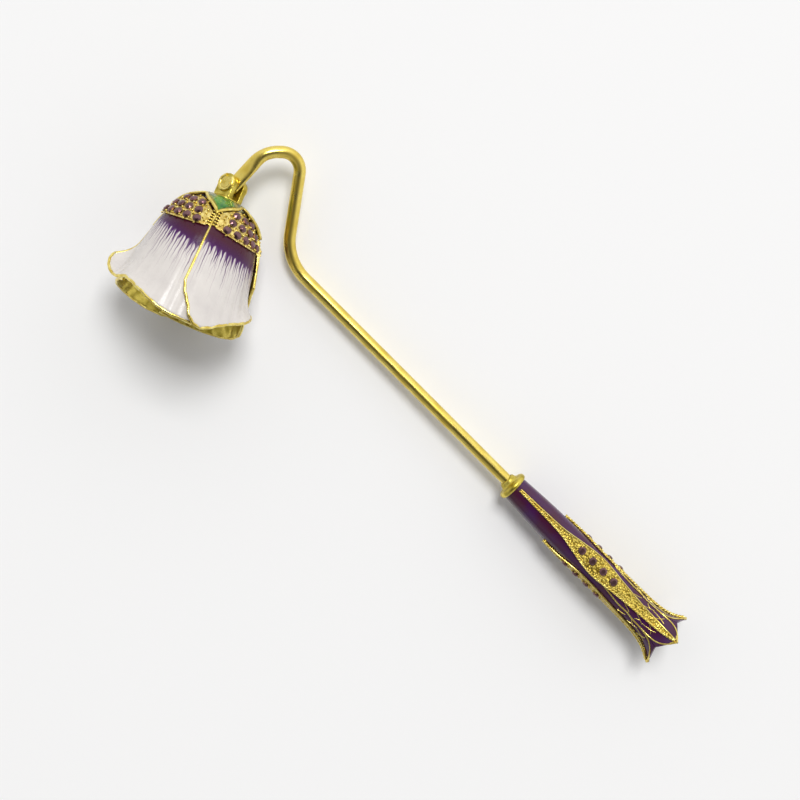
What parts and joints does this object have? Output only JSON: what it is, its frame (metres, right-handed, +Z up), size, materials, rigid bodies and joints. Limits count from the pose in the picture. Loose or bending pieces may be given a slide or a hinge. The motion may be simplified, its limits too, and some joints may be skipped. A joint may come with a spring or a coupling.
{
  "type": "candle snuffer",
  "caption": "Flower-bell candle snuffer: an enamelled petal bell pivots on a gooseneck rod with a leafed handle.",
  "frame": {"origin": "centre of the lying part's bounding box in plan, on the surface it lies on", "axes": "+X along the rod from the bell to the handle's tips, +Y to the side the gooseneck rises to, +Z up"},
  "size_m": [0.2214, 0.0722, 0.0443],
  "materials": {
    "gold": "polished gold plate",
    "gold_grain": "granulated gold plate",
    "white_enamel": "gloss enamel",
    "plum_enamel": "gloss enamel",
    "green_enamel": "gloss enamel",
    "stones": "cut and foiled"
  },
  "bodies": {
    "rod": {"hook_rod": "gold", "rod_collar": "gold", "handle_body": "plum_enamel", "handle_plug": "gold", "handle_petal_1": "plum_enamel", "handle_petal_2": "plum_enamel", "handle_petal_3": "plum_enamel", "handle_petal_4": "plum_enamel", "handle_leaf_1": "gold_grain", "handle_leaf_2": "gold_grain", "handle_leaf_3": "gold_grain", "handle_leaf_4": "gold_grain", "leaf_stones_1": "stones", "leaf_stones_2": "stones", "leaf_stones_3": "stones", "leaf_stones_4": "stones"},
    "bell": {"clevis": "gold", "pivot_pin": "gold", "bell_cup": "gold", "petal_1": "white_enamel", "petal_2": "white_enamel", "petal_3": "white_enamel", "petal_4": "white_enamel", "petal_pave_1": "gold_grain", "petal_pave_2": "gold_grain", "petal_pave_3": "gold_grain", "petal_pave_4": "gold_grain", "petal_stones_1": "stones", "petal_stones_2": "stones", "petal_stones_3": "stones", "petal_stones_4": "stones", "sepal_1": "green_enamel", "sepal_2": "green_enamel", "sepal_3": "green_enamel", "sepal_4": "green_enamel"}
  },
  "joints": [
    {"name": "bell_swing", "type": "hinge", "parent": "rod", "child": "bell", "pos_m": [-0.09904, 0.01371, 0.01271], "axis": [-0.6401, -0.0513, 0.7666], "range_deg": [-95, 20]}
  ]
}
